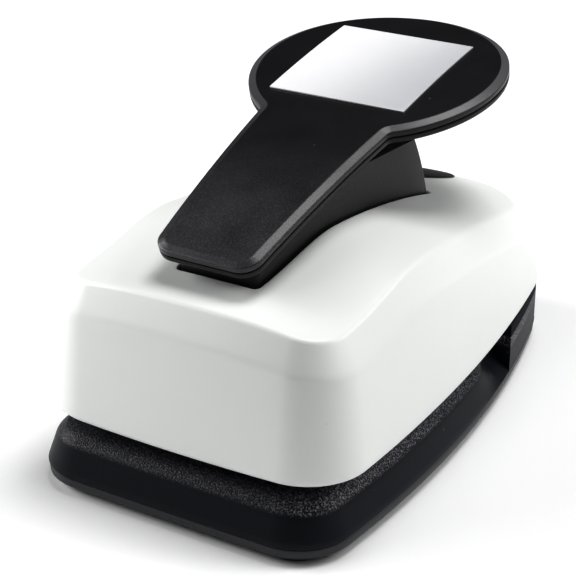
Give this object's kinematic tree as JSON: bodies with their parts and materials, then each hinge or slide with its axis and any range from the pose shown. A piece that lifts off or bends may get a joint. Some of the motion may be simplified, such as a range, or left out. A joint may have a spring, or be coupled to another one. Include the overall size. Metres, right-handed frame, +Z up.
{
  "type": "craft punch",
  "caption": "Lever craft punch for squares of paper: black base with an open paper throat, rounded white housing and a black round-ended paddle lever with a silver square label.",
  "frame": {"origin": "centre of the footprint on the table, under the rubber feet", "axes": "+X to the right across the width, +Y from the lever's narrow front end to the rear, +Z up"},
  "size_m": [0.081, 0.148, 0.0843],
  "materials": {
    "base_black": "moulded ABS, fine matte grain on the shoulder",
    "cover_black": "moulded ABS, satin",
    "housing_white": "moulded ABS, soft satin, very slightly green white",
    "lever_black": "moulded ABS with a fine grain",
    "label_film": "satin silver film on a thin plate",
    "guide_zinc": "die cast, satin",
    "die_steel": "ground",
    "bracket_steel": "pressed, zinc plated",
    "pin_steel": "turned, bright",
    "spring_steel": "drawn wire",
    "screw_steel": "zinc plated",
    "foot_rubber": "matte",
    "roller_nylon": "natural nylon",
    "head_black": "glass-filled nylon"
  },
  "bodies": {
    "base": {"base": "base_black", "bottom_cover": "cover_black", "foot_fl": "foot_rubber", "foot_fr": "foot_rubber", "foot_rl": "foot_rubber", "foot_rr": "foot_rubber", "housing": "housing_white", "rest_pad": "base_black", "guide_plate": "guide_zinc", "die_plate": "die_steel", "die_screw_fl": "screw_steel", "die_screw_fr": "screw_steel", "die_screw_rl": "screw_steel", "die_screw_rr": "screw_steel", "cover_screw_fl": "screw_steel", "cover_screw_fr": "screw_steel", "cover_screw_rl": "screw_steel", "cover_screw_rr": "screw_steel", "housing_screw_fl": "screw_steel", "housing_screw_fr": "screw_steel", "housing_screw_rl": "screw_steel", "housing_screw_rr": "screw_steel", "plate_screw_l": "screw_steel", "plate_screw_r": "screw_steel", "pivot_bracket": "bracket_steel", "bracket_screw_l": "screw_steel", "bracket_screw_r": "screw_steel", "pivot_axle": "pin_steel", "axle_clip_l": "bracket_steel", "axle_clip_r": "bracket_steel", "guide_post_l": "pin_steel", "guide_post_r": "pin_steel", "spring_fl": "spring_steel", "spring_fr": "spring_steel", "spring_rl": "spring_steel", "spring_rr": "spring_steel"},
    "lever": {"lever_body": "lever_black", "lever_cover": "lever_black", "label_plate": "label_film", "roller_pin": "pin_steel"},
    "roller": {"roller": "roller_nylon"},
    "punch": {"punch_block": "die_steel", "punch_head": "head_black", "head_screw_l": "screw_steel", "head_screw_r": "screw_steel"}
  },
  "joints": [
    {"name": "lever_hinge", "type": "hinge", "parent": "base", "child": "lever", "pos_m": [0, -0.05, 0.0342], "axis": [-1, 0, 0], "range_deg": [0, 13], "stiffness_Nm_per_rad": 3.4, "springref_deg": -6.3},
    {"name": "roller_spin", "type": "hinge", "parent": "lever", "child": "roller", "pos_m": [0, -0.0227, 0.0398], "axis": [1, 0, 0], "continuous": true},
    {"name": "punch_slide", "type": "slide", "parent": "base", "child": "punch", "axis": [0, 0, -1], "range_m": [0, 0.0063], "deforming": ["spring_fl", "spring_fr", "spring_rl", "spring_rr"]}
  ],
  "couplings": [
    {"joint": "punch_slide", "follows": "lever_hinge", "m_per_rad": 0.02775}
  ]
}
